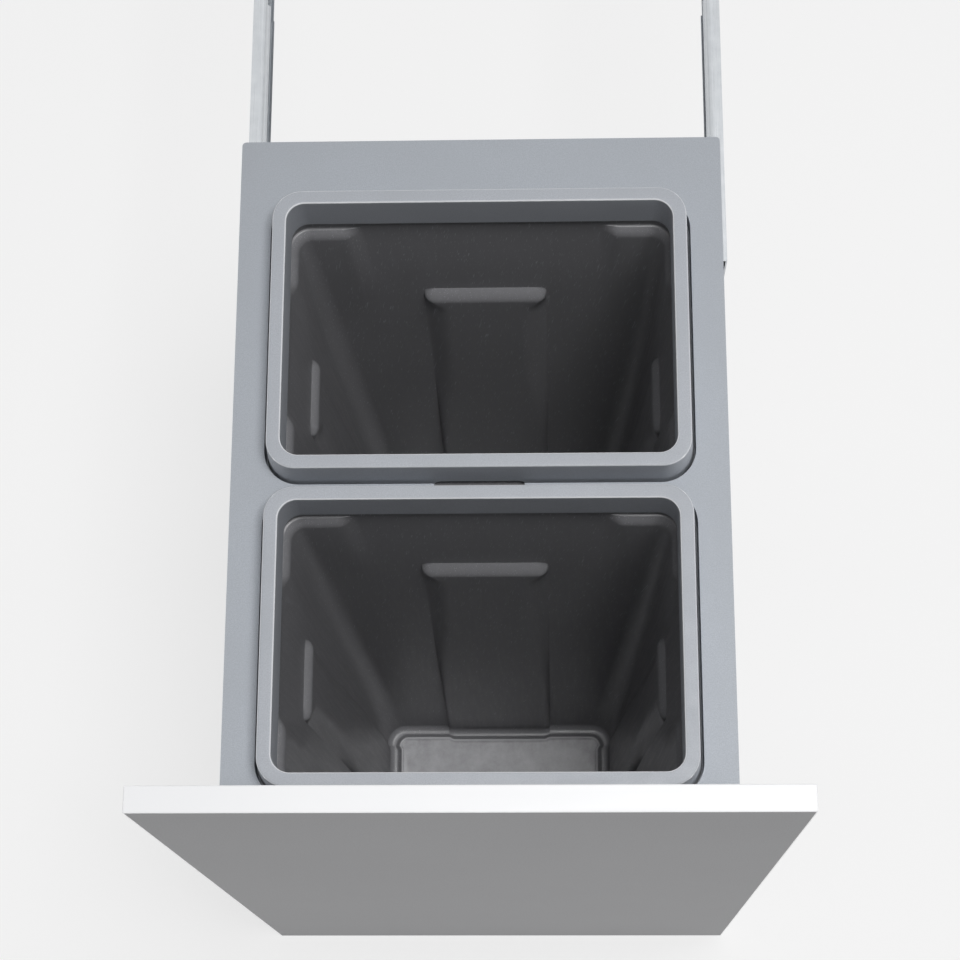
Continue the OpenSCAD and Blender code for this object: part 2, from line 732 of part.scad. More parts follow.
// Tapered body of a bin, drawn in by d all round and standing up by up from the bottom
module bin_body(d, up, top) {
    r_top = max(bin_r - d, 1);
    r_low = max(bin_foot_r - d, 1);
    low_w = bin_w - 2 * taper_x - 2 * d;
    low_l = bin_l - 2 * taper_y - 2 * d;
    hull() {
        slab(bin_w - 2 * d, bin_l - 2 * d, r_top, top - slab_t);
        slab(low_w, low_l, r_low, bin_bottom + foot_turn);
        slab(low_w - 2 * foot_inset, low_l - 2 * foot_inset, r_low - foot_inset, bin_bottom + up);
    }
}

// Upright columns in the middle of the four walls, where the walls are pressed in
module press_columns(extra) {
    top = plate_z - press_drop;
    low = bin_bottom - 1;
    for (box = [[press_w + 2 * extra, 2 * bin_l], [2 * bin_w, press_side_w + 2 * extra]])
        translate([-box[0] / 2, -box[1] / 2, low]) cube([box[0], box[1], top + extra - low]);
}

// The middle stretch of each wall, between the corner shoulders, which narrows as the corners widen
module wall_stretches(extra) {
    top = plate_z - shoulder_drop;
    grow = bin_foot_r - bin_r;
    for (box = [
        [bin_w - 2 * shoulder_x + 2 * extra, 2 * bin_l, 2 * (taper_x + grow) * stretch_follow, 0],
        [2 * bin_w, bin_l - 2 * shoulder_y + 2 * extra, 0, 2 * (taper_y + grow) * stretch_follow]
    ]) hull() {
        centred_box(box[0], box[1], top - slab_t);
        centred_box(box[0] - box[2], box[1] - box[3], bin_bottom - 1);
    }
}

// Outside of the four corners below their shoulders, where the corners step in
module corner_steps() {
    low = bin_bottom - 2;
    top = plate_z - shoulder_drop - bin_wall;
    difference() {
        translate([-bin_w, -bin_l, low]) cube([2 * bin_w, 2 * bin_l, top - low]);
        wall_stretches(bin_wall);
        bin_body(shoulder_in, -3, plate_z);
    }
}

module centred_box(w, l, z) {
    translate([-w / 2, -l / 2, z]) cube([w, l, slab_t]);
}

// Bin: tapered shell with pressed-in walls, corner shoulders, a rim to hang by and a lip for the bag
module bin() {
    rim_mid = ledge_z + rim_t / 2;
    difference() {
        union() {
            bin_body(0, 0, ledge_z + slab_t / 2);
            translate([0, 0, ledge_z]) linear_extrude(rim_t) rounded(rim_w, rim_l, rim_r);
            translate([0, 0, rim_mid]) linear_extrude(lip_top - rim_mid) rounded(bin_w, bin_l, bin_r);
        }
        corner_steps();
        difference() {
            press_columns(0);
            bin_body(press_in, -2, plate_z);
        }
        translate([0, 0, plate_z - shoulder_drop]) linear_extrude(lip_top)
            rounded(bin_w - 2 * bin_wall, bin_l - 2 * bin_wall, bin_r - bin_wall);
        difference() {
            union() {
                bin_body(bin_wall + shoulder_in, bin_floor, plate_z);
                intersection() {
                    bin_body(bin_wall, bin_floor, plate_z);
                    wall_stretches(0);
                }
            }
            difference() {
                press_columns(bin_wall);
                bin_body(press_in + bin_wall, bin_floor, plate_z);
            }
            floor_field();
        }
    }
}

// Raised field of the floor, with sloped edges
module floor_field() {
    d = bin_wall + foot_inset + field_in;
    w = bin_w - 2 * taper_x - 2 * d;
    l = bin_l - 2 * taper_y - 2 * d;
    r = max(bin_foot_r - d, 4);
    hull() {
        slab(w, l, r, bin_bottom + bin_floor + field_h - slab_t);
        slab(w + 2 * field_h, l + 2 * field_h, r + field_h, bin_bottom);
    }
}

module rear_bin() { color(bin_finish) translate([0, rear_y, 0]) bin(); }
module front_bin() { color(bin_finish) translate([0, front_y, 0]) bin(); }

left_cabinet_rail();
right_cabinet_rail();
left_rail_stop();
right_rail_stop();
left_outer_cage();
right_outer_cage();
left_outer_balls();
right_outer_balls();
left_middle_rail();
right_middle_rail();
left_inner_cage();
right_inner_cage();
left_inner_balls();
right_inner_balls();
left_drawer_rail();
right_drawer_rail();
left_release_lever();
right_release_lever();
rail_screws();
rail_nuts();
carrier_plate();
left_side_plate();
right_side_plate();
plate_nuts();
rear_cross_bar();
front_cross_bar();
left_front_bracket();
right_front_bracket();
frame_bolts();
frame_nuts();
front_panel();
edge_band();
front_screws();
front_buffers();
rear_bin();
front_bin();
rear_ring();
front_ring();
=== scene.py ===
import json
import math

import bmesh
import bpy
from mathutils import Matrix, Vector


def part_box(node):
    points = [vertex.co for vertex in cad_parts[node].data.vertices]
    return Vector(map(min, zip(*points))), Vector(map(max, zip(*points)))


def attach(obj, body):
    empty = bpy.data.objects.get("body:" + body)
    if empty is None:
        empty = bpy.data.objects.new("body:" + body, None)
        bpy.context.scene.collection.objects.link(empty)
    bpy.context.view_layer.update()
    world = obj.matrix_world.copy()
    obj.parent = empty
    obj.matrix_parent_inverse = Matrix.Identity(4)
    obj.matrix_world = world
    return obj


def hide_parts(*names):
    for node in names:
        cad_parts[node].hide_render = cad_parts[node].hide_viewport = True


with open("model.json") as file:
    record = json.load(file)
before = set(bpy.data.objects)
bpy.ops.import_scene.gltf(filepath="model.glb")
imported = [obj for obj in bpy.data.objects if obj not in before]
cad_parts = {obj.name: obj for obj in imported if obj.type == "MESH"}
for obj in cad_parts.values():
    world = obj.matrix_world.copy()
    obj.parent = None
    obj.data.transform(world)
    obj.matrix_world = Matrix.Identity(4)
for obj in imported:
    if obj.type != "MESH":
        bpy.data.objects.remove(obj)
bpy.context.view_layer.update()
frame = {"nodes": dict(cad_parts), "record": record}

nodes = frame["nodes"]
MM = 0.001
# points closer than this are one point, in metres
MERGE = 1e-6

# Places that the part's source also uses, in millimetres
PLATE_Z = 604
REAR_Y = -101.25
FRONT_Y = -314.25
LEDGE_Z = 590.5
RIM_Z = 592.5
RING_TOP = 629.5


# Finishes

def linear(colour):
    """A sRGB hex colour as linear red, green, blue and alpha."""
    parts = [int(colour[i:i + 2], 16) / 255 for i in (1, 3, 5)]
    return [c / 12.92 if c <= 0.04045 else ((c + 0.055) / 1.055) ** 2.4 for c in parts] + [1.0]


def add(tree, kind, inputs=None, **settings):
    """Adds a node; inputs are values or the sockets that feed them."""
    node = tree.nodes.new(kind)
    for key, value in settings.items():
        setattr(node, key, value)
    for key, value in (inputs or {}).items():
        if isinstance(value, bpy.types.NodeSocket):
            tree.links.new(value, node.inputs[key])
        else:
            node.inputs[key].default_value = value
    return node


def finish_start(name, **constants):
    """A material with its shader; the constants are set on the shader's own sockets."""
    material = bpy.data.materials.new(name)
    material.use_nodes = True
    tree = material.node_tree
    shader = tree.nodes["Principled BSDF"]
    for key, value in constants.items():
        shader.inputs[key.replace("_", " ")].default_value = value
    where = add(tree, "ShaderNodeTexCoord").outputs["Object"]
    return material, tree, shader, where


def per(mm):
    """Texture scale for a pattern of that size in millimetres."""
    return 1 / (mm * MM)


def feed(tree, shader, colour, rough, height, depth_mm):
    """Joins colour, roughness and a bump of that depth to the shader."""
    bump = add(tree, "ShaderNodeBump", {"Height": height, "Strength": 1.0, "Distance": depth_mm * MM})
    tree.links.new(colour, shader.inputs["Base Color"])
    tree.links.new(rough, shader.inputs["Roughness"])
    tree.links.new(bump.outputs["Normal"], shader.inputs["Normal"])


# nearly all of a noise's values lie in this span
NOISE_SPAN = {"From Min": 0.3, "From Max": 0.7}


def coated_steel():
    """Steel sheet with a baked silver powder coat: bright flake in a satin skin, slight orange peel."""
    m, t, shader, where = finish_start("silver_powder_coat", Metallic=0.12)
    # flake of 0.7 mm, coarser than real mica so that it shows
    flake = add(t, "ShaderNodeTexNoise", {"Vector": where, "Scale": per(0.7), "Detail": 2.0}).outputs["Fac"]
    cloud = add(t, "ShaderNodeTexNoise", {"Vector": where, "Scale": per(90), "Detail": 3.0}).outputs["Fac"]
    peel = add(t, "ShaderNodeTexNoise", {"Vector": where, "Scale": per(1.6), "Detail": 1.0}).outputs["Fac"]
    sparkle = add(t, "ShaderNodeMapRange", {"Value": flake, **NOISE_SPAN}).outputs["Result"]
    tone = add(t, "ShaderNodeMixRGB",
               {"Fac": sparkle, "Color1": linear("#9DA2A9"), "Color2": linear("#AFB4BB")}).outputs["Color"]
    shade = add(t, "ShaderNodeMapRange",
                {"Value": cloud, **NOISE_SPAN, "To Min": 0.0, "To Max": 0.5}).outputs["Result"]
    colour = add(t, "ShaderNodeMixRGB",
                 {"Fac": shade, "Color1": tone, "Color2": linear("#A0A4AA")}).outputs["Color"]
    rough = add(t, "ShaderNodeMapRange",
                {"Value": flake, **NOISE_SPAN, "To Min": 0.62, "To Max": 0.5}).outputs["Result"]
    feed(t, shader, colour, rough, peel, depth_mm=0.02)
    return m


def ring_plastic():
    """Injection-moulded ABS in silver-grey: satin, with a fine pearl flake and faint handling scuffs."""
    m, t, shader, where = finish_start("silver_grey_abs", IOR=1.53)
    grain = add(t, "ShaderNodeTexNoise", {"Vector": where, "Scale": per(0.8), "Detail": 2.0}).outputs["Fac"]
    cloud = add(t, "ShaderNodeTexNoise", {"Vector": where, "Scale": per(55), "Detail": 4.0}).outputs["Fac"]
    scuff = add(t, "ShaderNodeTexNoise",
                {"Vector": where, "Scale": per(14), "Detail": 6.0, "Roughness": 0.75}).outputs["Fac"]
    pearl = add(t, "ShaderNodeMapRange", {"Value": grain, **NOISE_SPAN}).outputs["Result"]
    tone = add(t, "ShaderNodeMixRGB",
               {"Fac": pearl, "Color1": linear("#A6AAB1"), "Color2": linear("#B6BAC1")}).outputs["Color"]
    shade = add(t, "ShaderNodeMapRange",
                {"Value": cloud, "From Min": 0.35, "From Max": 0.7,
                 "To Min": 0.0, "To Max": 0.5}).outputs["Result"]
    body = add(t, "ShaderNodeMixRGB",
               {"Fac": shade, "Color1": tone, "Color2": linear("#A4A8AE")}).outputs["Color"]
    # painted highlight on the rounded edges of the top, strongest at the mouth
    painted_highlight = add(t, "ShaderNodeAttribute", attribute_name="painted_highlight").outputs["Fac"]
    colour = add(t, "ShaderNodeMixRGB",
                 {"Fac": painted_highlight, "Color1": body, "Color2": linear("#ECEEF1")}).outputs["Color"]
    rough = add(t, "ShaderNodeMapRange",
                {"Value": scuff, "From Min": 0.35, "From Max": 0.65,
                 "To Min": 0.44, "To Max": 0.56}).outputs["Result"]
    feed(t, shader, colour, rough, grain, depth_mm=0.012)
    return m


def bin_plastic():
    """Injection-moulded polypropylene in charcoal: fine grain, soft shine, bag marks, scuffed floor."""
    m, t, shader, where = finish_start("charcoal_polypropylene", IOR=1.49)
    grain = add(t, "ShaderNodeTexNoise", {"Vector": where, "Scale": per(0.9), "Detail": 2.0}).outputs["Fac"]
    cloud = add(t, "ShaderNodeTexNoise", {"Vector": where, "Scale": per(120), "Detail": 4.0}).outputs["Fac"]
    tone = add(t, "ShaderNodeMixRGB",
               {"Fac": cloud, "Color1": linear("#7E7E81"), "Color2": linear("#87878A")}).outputs["Color"]
    # marks from bags: 3 mm wide and 150 mm long, down the walls
    pull = add(t, "ShaderNodeMapping",
               {"Vector": where, "Scale": (per(3), per(3), per(150))}).outputs["Vector"]
    drag = add(t, "ShaderNodeTexNoise", {"Vector": pull, "Scale": 1.0, "Detail": 4.0}).outputs["Fac"]
    dragged = add(t, "ShaderNodeMapRange",
                  {"Value": drag, "From Min": 0.5, "From Max": 0.75,
                   "To Min": 0.0, "To Max": 0.25}).outputs["Result"]
    wall = add(t, "ShaderNodeMixRGB",
               {"Fac": dragged, "Color1": tone, "Color2": linear("#949499")}).outputs["Color"]
    # a few scratches: 0.7 mm wide and 30 mm long, leaning by 10 degrees
    lean = add(t, "ShaderNodeMapping",
               {"Vector": where, "Rotation": (0.0, math.radians(10), 0.0),
                "Scale": (0.7 * MM, 0.7 * MM, 30 * MM)}, vector_type="TEXTURE").outputs["Vector"]
    lines = add(t, "ShaderNodeTexNoise", {"Vector": lean, "Scale": 1.0, "Detail": 1.0}).outputs["Fac"]
    scratch = add(t, "ShaderNodeMapRange",
                  {"Value": lines, "From Min": 0.66, "From Max": 0.74,
                   "To Min": 0.0, "To Max": 0.6}).outputs["Result"]
    marked = add(t, "ShaderNodeMixRGB",
                 {"Fac": scratch, "Color1": wall, "Color2": linear("#BCBCC4")}).outputs["Color"]
    # the floor's field is scuffed pale by what lands on it
    scuff = add(t, "ShaderNodeTexNoise",
                {"Vector": where, "Scale": per(18), "Detail": 5.0, "Roughness": 0.7}).outputs["Fac"]
    pale = add(t, "ShaderNodeMapRange", {"Value": scuff, "From Min": 0.2, "From Max": 0.8}).outputs["Result"]
    field = add(t, "ShaderNodeAttribute", attribute_name="scuffed").outputs["Fac"]
    scuffed = add(t, "ShaderNodeMath", {0: pale, 1: field}, operation="MULTIPLY").outputs[0]
    floor_tone = add(t, "ShaderNodeMixRGB",
                     {"Fac": scuffed, "Color1": marked, "Color2": linear("#B6B6BA")}).outputs["Color"]
    # painted highlight along the crest of the bead round the field
    painted_highlight = add(t, "ShaderNodeAttribute", attribute_name="painted_highlight").outputs["Fac"]
    colour = add(t, "ShaderNodeMixRGB",
                 {"Fac": painted_highlight, "Color1": floor_tone, "Color2": linear("#C6C6C8")}).outputs["Color"]
    rough = add(t, "ShaderNodeMapRange",
                {"Value": drag, **NOISE_SPAN, "To Min": 0.3, "To Max": 0.42}).outputs["Result"]
    feed(t, shader, colour, rough, grain, depth_mm=0.015)
    return m


def edge_plastic():
    """ABS edge band in white: smooth satin strip with faint lengthwise scraper marks."""
    m, t, shader, where = finish_start("white_abs_edge", IOR=1.53)
    # scraper marks: 0.8 mm across the edge, 120 mm along it
    strip = add(t, "ShaderNodeMapping",
                {"Vector": where, "Scale": (per(120), per(0.8), per(120))}).outputs["Vector"]
    marks = add(t, "ShaderNodeTexNoise", {"Vector": strip, "Scale": 1.0, "Detail": 3.0}).outputs["Fac"]
    cloud = add(t, "ShaderNodeTexNoise", {"Vector": where, "Scale": per(70), "Detail": 3.0}).outputs["Fac"]
    colour = add(t, "ShaderNodeMixRGB",
                 {"Fac": cloud, "Color1": linear("#F1F2F4"), "Color2": linear("#F7F7F8")}).outputs["Color"]
    rough = add(t, "ShaderNodeMapRange",
                {"Value": marks, **NOISE_SPAN, "To Min": 0.4, "To Max": 0.52}).outputs["Result"]
    feed(t, shader, colour, rough, marks, depth_mm=0.008)
    return m


def faced_board():
    """Chipboard with a pressed melamine face in mid grey: matt, with a very fine pearl structure."""
    m, t, shader, where = finish_start("grey_melamine_face", IOR=1.5)
    pearl = add(t, "ShaderNodeTexNoise", {"Vector": where, "Scale": per(1.1), "Detail": 3.0}).outputs["Fac"]
    cloud = add(t, "ShaderNodeTexNoise", {"Vector": where, "Scale": per(160), "Detail": 3.0}).outputs["Fac"]
    colour = add(t, "ShaderNodeMixRGB",
                 {"Fac": cloud, "Color1": linear("#7E7E80"), "Color2": linear("#848486")}).outputs["Color"]
    rough = add(t, "ShaderNodeMapRange",
                {"Value": pearl, **NOISE_SPAN, "To Min": 0.48, "To Max": 0.58}).outputs["Result"]
    feed(t, shader, colour, rough, pearl, depth_mm=0.015)
    return m


def rolled_steel(name, dark, light, rough_span, run_mm):
    """Cold-rolled steel, bare or thinly zinc plated: bright, with drawn lines along Y and a cloudy bloom."""
    m, t, shader, where = finish_start(name, Metallic=1.0)
    # drawn lines: 0.5 mm wide, run_mm long
    drawn = add(t, "ShaderNodeMapping",
                {"Vector": where, "Scale": (per(0.5), per(run_mm), per(0.5))}).outputs["Vector"]
    lines = add(t, "ShaderNodeTexNoise", {"Vector": drawn, "Scale": 1.0, "Detail": 3.0}).outputs["Fac"]
    cloud = add(t, "ShaderNodeTexNoise", {"Vector": where, "Scale": per(9), "Detail": 4.0}).outputs["Fac"]
    colour = add(t, "ShaderNodeMixRGB",
                 {"Fac": cloud, "Color1": linear(dark), "Color2": linear(light)}).outputs["Color"]
    low, high = rough_span
    rough = add(t, "ShaderNodeMapRange",
                {"Value": lines, **NOISE_SPAN, "To Min": low, "To Max": high}).outputs["Result"]
    feed(t, shader, colour, rough, lines, depth_mm=0.006)
    return m


def ground_balls():
    """Hardened chrome steel balls, ground and polished: a mirror with the faintest haze."""
    m, t, shader, where = finish_start("polished_ball_steel", Metallic=1.0)
    haze = add(t, "ShaderNodeTexNoise", {"Vector": where, "Scale": per(1.5), "Detail": 2.0}).outputs["Fac"]
    colour = add(t, "ShaderNodeMixRGB",
                 {"Fac": haze, "Color1": linear("#C9CBCE"), "Color2": linear("#D8DADC")}).outputs["Color"]
    rough = add(t, "ShaderNodeMapRange",
                {"Value": haze, **NOISE_SPAN, "To Min": 0.1, "To Max": 0.18}).outputs["Result"]
    feed(t, shader, colour, rough, haze, depth_mm=0.001)
    return m


def plain_moulding(name, dark, light, rough_span, grain_mm, depth_mm, **constants):
    """Moulded rubber or plastic in one colour: a plain skin with a fine even grain."""
    m, t, shader, where = finish_start(name, **constants)
    grain = add(t, "ShaderNodeTexNoise",
                {"Vector": where, "Scale": per(grain_mm), "Detail": 3.0}).outputs["Fac"]
    colour = add(t, "ShaderNodeMixRGB",
                 {"Fac": grain, "Color1": linear(dark), "Color2": linear(light)}).outputs["Color"]
    low, high = rough_span
    rough = add(t, "ShaderNodeMapRange",
                {"Value": grain, **NOISE_SPAN, "To Min": low, "To Max": high}).outputs["Result"]
    feed(t, shader, colour, rough, grain, depth_mm)
    return m


FINISH = {
    "coated_steel": coated_steel(),
    "ring_plastic": ring_plastic(),
    "bin_plastic": bin_plastic(),
    "edge_plastic": edge_plastic(),
    "faced_board": faced_board(),
    "rail_steel": rolled_steel("zinc_plated_rail_steel", "#B6BABE", "#CDD0D3",
                               rough_span=(0.24, 0.4), run_mm=60),
    "cage_steel": rolled_steel("bare_strip_steel", "#8E9092", "#A3A5A7",
                               rough_span=(0.34, 0.5), run_mm=25),
    "fastener_steel": rolled_steel("zinc_plated_screw_steel", "#B4B3AC", "#CFCEC8",
                                   rough_span=(0.2, 0.34), run_mm=1.5),
    "ball_steel": ground_balls(),
    "dark_rubber": plain_moulding("black_rubber", "#1B1B1C", "#262627",
                                  rough_span=(0.7, 0.86), grain_mm=0.6, depth_mm=0.03, IOR=1.52),
    "lever_plastic": plain_moulding("black_acetal", "#1C1C1E", "#252528",
                                    rough_span=(0.42, 0.55), grain_mm=0.7, depth_mm=0.012, IOR=1.48),
    "clear_rubber": plain_moulding("clear_polyurethane", "#DADAD2", "#E8E8E2",
                                   rough_span=(0.2, 0.32), grain_mm=1.2, depth_mm=0.01,
                                   IOR=1.5, Transmission_Weight=0.5),
}
SLOT = {row["node"]: row["material_slot"] for row in frame["record"]["subparts"]}
BODY = {name: body for body, names in frame["record"]["behaviour"]["bodies"].items() for name in names}

for name, thing in nodes.items():
    thing.data.materials.clear()
    thing.data.materials.append(FINISH[SLOT[name]])


# Making pieces

# edges sharper than this stay sharp in the shading, in degrees
SHARP_DEG, BIN_SHARP_DEG = 35, 40
CORNER_STEPS = 12
# sections nearer than this in height are level, and the second is set off by so much, in millimetres
SAME_LEVEL, SET_OFF = 0.005, 0.01
# in a copy of a CAD node, edges flatter than the first are dissolved and sharper than the second broken
FLAT_DEG, BREAK_DEG = 0.4, 40


def smooth(mesh, sharp_deg=SHARP_DEG):
    """Shades a mesh smooth, apart from its sharp edges."""
    mesh.shade_smooth()
    mesh.set_sharp_from_angle(angle=math.radians(sharp_deg))


def make_piece(bm, name, node, sharp_deg=SHARP_DEG):
    """Turns a bmesh into a piece that stands for a node, with that node's finish and body."""
    mesh = bpy.data.meshes.new(name)
    bm.to_mesh(mesh)
    bm.free()
    if "custom_normal" in mesh.attributes:
        mesh.attributes.remove(mesh.attributes["custom_normal"])
    mesh.materials.append(FINISH[SLOT[node]])
    smooth(mesh, sharp_deg)
    piece = bpy.data.objects.new(name, mesh)
    bpy.context.scene.collection.objects.link(piece)
    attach(piece, BODY[node])
    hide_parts(node)
    return piece


def weigh_normals(piece):
    """Lets large flat faces keep a flat look beside their rounded edges."""
    modifier = piece.modifiers.new("flat_faces", "WEIGHTED_NORMAL")
    modifier.keep_sharp = True


def rounded_loop(bm, w, l, r, z, y0):
    """The edges of a rectangle with round corners, in millimetres, at z and centred on X = 0 and Y = y0."""
    corners = [bm.verts.new((sx * w / 2, y0 + sy * l / 2, z))
               for sx, sy in ((1, 1), (-1, 1), (-1, -1), (1, -1))]
    bm.faces.new(corners)
    made = bmesh.ops.bevel(bm, geom=corners, offset=r, offset_type="OFFSET", segments=CORNER_STEPS,
                           profile=0.5, affect="VERTICES", material=-1)
    face = made["verts"][0].link_faces[0]
    edges = list(face.edges)
    bm.faces.remove(face)
    return edges


def loft(bm, sections, y0, closed):
    """Walls through a row of rounded sections (w, l, r, z).

    Closed joins the last section to the first, otherwise both ends are capped.
    """
    loops = []
    last_z = None
    for w, l, r, z in sections:
        # two level loops at one height can't be bridged the right way round
        if last_z is not None and abs(z - last_z) < SAME_LEVEL:
            z += SET_OFF
        loops.append(rounded_loop(bm, w, l, r, z, y0))
        last_z = z
    pairs = list(zip(loops, loops[1:])) + ([(loops[-1], loops[0])] if closed else [])
    for a, b in pairs:
        bmesh.ops.bridge_loops(bm, edges=a + b)
    if not closed:
        for loop in (loops[0], loops[-1]):
            bmesh.ops.contextual_create(bm, geom=loop)
    bmesh.ops.recalc_face_normals(bm, faces=bm.faces)


def arc(steps, start=0.0, end=90.0):
    """Sine and cosine at even angles from start to end."""
    angles = [math.radians(start + (end - start) * i / steps) for i in range(steps + 1)]
    return [(math.sin(a), math.cos(a)) for a in angles]


def ramp(value):
    """Smooth step from 0 to 1."""
    value = min(max(value, 0.0), 1.0)
    return value * value * (3 - 2 * value)


def cut(piece, cutter_bm):
    """Takes the cutter's shape out of a piece."""
    mesh = bpy.data.meshes.new("cutter")
    cutter_bm.to_mesh(mesh)
    cutter_bm.free()
    cutter = bpy.data.objects.new("cutter", mesh)
    bpy.context.scene.collection.objects.link(cutter)
    modifier = piece.modifiers.new("cut", "BOOLEAN")
    modifier.operation = "DIFFERENCE"
    modifier.solver = "EXACT"
    modifier.object = cutter
    bpy.context.view_layer.update()
    done = bpy.data.meshes.new_from_object(piece.evaluated_get(bpy.context.evaluated_depsgraph_get()))
    piece.modifiers.remove(modifier)
    bpy.data.objects.remove(cutter)
    piece.data = done


def soften(node, name, width_mm, chosen=None, segments=2):
    """A copy of a CAD node with its sharp edges broken, as bent, sawn or moulded edges are.

    Where chosen is given, it picks the edges to break.
    """
    bm = bmesh.new()
    bm.from_mesh(nodes[node].data)
    bmesh.ops.remove_doubles(bm, verts=bm.verts, dist=MERGE)
    bmesh.ops.dissolve_limit(bm, angle_limit=math.radians(FLAT_DEG), verts=bm.verts, edges=bm.edges,
                             use_dissolve_boundaries=False)
    edges = [e for e in bm.edges if len(e.link_faces) == 2
             and e.calc_face_angle() > math.radians(BREAK_DEG) and (chosen is None or chosen(e))]
    bmesh.ops.bevel(bm, geom=edges, offset=width_mm * MM, offset_type="OFFSET", segments=segments,
                    profile=0.5, affect="EDGES", clamp_overlap=True, material=-1)
    weigh_normals(make_piece(bm, name, node))


# Bag rings

RING_W, RING_L, RING_R = 285, 200.5, 20
RING_FACE, RING_WALL, RING_FLARE = 9.5, 2, 2.5
RING_DROP = RING_TOP - RIM_Z
# the mouth's corners are rounder than the outline's by this much
MOUTH_ROUNDER = 2
# rounded edges of the top, small bevels at the foot and under the channel's roof, and the top's middle rows
EDGE_R, EDGE_STEPS = 1.3, 5
RING_FOOT_EDGE, ROOF_EDGE, FLAT_IN = 0.4, 0.8, 3.4
# heights above the rim of the rows on the ring's walls
RING_ROWS = (12, 24)
NOTCH_W, NOTCH_H, NOTCH_REACH, NOTCH_STEPS = 61, 9.5, 9, 8
# strength of the painted highlight on the top's edges, at the mouth and outside, and the ends of them that
# stay plain
MOUTH_HIGHLIGHT, OUTER_HIGHLIGHT, HIGHLIGHT_MARGIN = 1.0, 0.5, 0.1


def ring_section(inset, z, inner):
    """A section of the ring, drawn in from the top's outline; inner ones have the mouth's corners."""
    r = RING_R - inset + (MOUTH_ROUNDER if inner else 0)
    return RING_W - 2 * inset, RING_L - 2 * inset, r, z


def flare(z):
    """The inset of the ring's outer wall at z, which is negative because the wall flares outwards."""
    return -RING_FLARE * (RING_TOP - z) / RING_DROP


def ring_sections():
    """Sections up the ring's outside, over its top, down its mouth and round the inside of its channel."""
    top_edge = arc(EDGE_STEPS)
    roof = RING_TOP - RING_WALL
    inside = RING_FACE - RING_WALL
    rows = [ring_section(flare(RIM_Z) + RING_FOOT_EDGE, RIM_Z, False),
            ring_section(flare(RIM_Z), RIM_Z + RING_FOOT_EDGE, False)]
    rows += [ring_section(flare(RIM_Z + up), RIM_Z + up, False) for up in RING_ROWS]
    # outer top edge, the flat top and the edge into the mouth
    rows += [ring_section(EDGE_R * (1 - c), RING_TOP - EDGE_R + EDGE_R * s, False) for s, c in top_edge]
    rows += [ring_section(FLAT_IN, RING_TOP, False), ring_section(RING_FACE - FLAT_IN, RING_TOP, True)]
    rows += [ring_section(RING_FACE - EDGE_R * (1 - c), RING_TOP - EDGE_R + EDGE_R * s, True)
             for s, c in top_edge[::-1]]
    rows += [ring_section(RING_FACE, RIM_Z + up, True) for up in (*RING_ROWS[::-1], RING_FOOT_EDGE)]
    rows += [ring_section(RING_FACE - RING_FOOT_EDGE, RIM_Z, True), ring_section(inside, RIM_Z, True)]
    # inside of the channel
    rows += [ring_section(inside, roof - ROOF_EDGE, True), ring_section(inside - ROOF_EDGE, roof, True)]
    rows += [ring_section(RING_WALL + flare(roof) + ROOF_EDGE, roof, False),
             ring_section(RING_WALL + flare(roof - ROOF_EDGE), roof - ROOF_EDGE, False),
             ring_section(RING_WALL + flare(RIM_Z), RIM_Z, False)]
    return rows


def along_y(edge):
    """Whether an edge runs along Y."""
    run = edge.verts[0].co - edge.verts[1].co
    return abs(run.x) < MERGE and abs(run.z) < MERGE


def notch_cutter(y):
    """A slot with round ends at the top, through the foot of the ring's wall at y."""
    bm = bmesh.new()
    size = Matrix.Diagonal((NOTCH_W * MM, NOTCH_REACH * MM, 2 * NOTCH_H * MM, 1.0))
    bmesh.ops.create_cube(bm, size=1.0, matrix=size)
    bmesh.ops.translate(bm, verts=bm.verts, vec=Vector((0, y, RIM_Z)) * MM)
    top = [e for e in bm.edges if along_y(e) and e.verts[0].co.z > RIM_Z * MM]
    bmesh.ops.bevel(bm, geom=top, offset=NOTCH_H / 2 * MM, offset_type="OFFSET", segments=NOTCH_STEPS,
                    profile=0.5, affect="EDGES", material=-1)
    return bm


def ring_highlight(x, y, z):
    """How strong the painted highlight is at a point of the ring: on the rounded edges of its top, most on
    the mouth's.
    """
    if not RING_TOP - EDGE_R + HIGHLIGHT_MARGIN < z < RING_TOP - HIGHLIGHT_MARGIN:
        return 0.0
    in_mouth = abs(x) < (RING_W - RING_FACE) / 2 and abs(y) < (RING_L - RING_FACE) / 2
    return MOUTH_HIGHLIGHT if in_mouth else OUTER_HIGHLIGHT


def bag_ring(name, node, y0):
    """A bag ring centred on Y = y0, with a finger notch in its front and back walls."""
    bm = bmesh.new()
    loft(bm, ring_sections(), y0, closed=True)
    # point attribute carrying the painted highlight on the rounded edges of the ring's top
    painted_highlight = bm.verts.layers.float.new("painted_highlight")
    for v in bm.verts:
        v[painted_highlight] = ring_highlight(v.co.x, v.co.y - y0, v.co.z)
    bmesh.ops.scale(bm, vec=(MM, MM, MM), verts=bm.verts)
    piece = make_piece(bm, name, node)
    for side in (-1, 1):
        cut(piece, notch_cutter(y0 + side * (RING_L / 2 + RING_FLARE - RING_WALL / 2)))
    smooth(piece.data)
    weigh_normals(piece)


bag_ring("rear_bag_ring", "rear_ring", REAR_Y)
bag_ring("front_bag_ring", "front_ring", FRONT_Y)


# Bins

BIN_W, BIN_L, BIN_R = 277, 192.5, 16
BIN_BOTTOM, FLOOR_Z, FOOT_Z = 29, 32, 38
TAPER_X, TAPER_Y, FOOT_R = 34, 46, 20
WALL, FOOT_INSET, FOOT_STEPS = 2.5, 6, 6
# width of the edge that the bin stands on, and height of the hollow inside it
STAND_W, HOLLOW = 7, 1.5
# the corners step in below the rim, the middle of each wall doesn't
SHOULDER_IN, SHOULDER_FADE = 4, 170
SHOULDER_Z, SHOULDER_H = 580, 9
# the wall is thinner from the shoulder up to the rim, and in its middle this fades out further down
REBATE, REBATE_FADE, REBATE_EDGE = 1.5, 80, 0.2
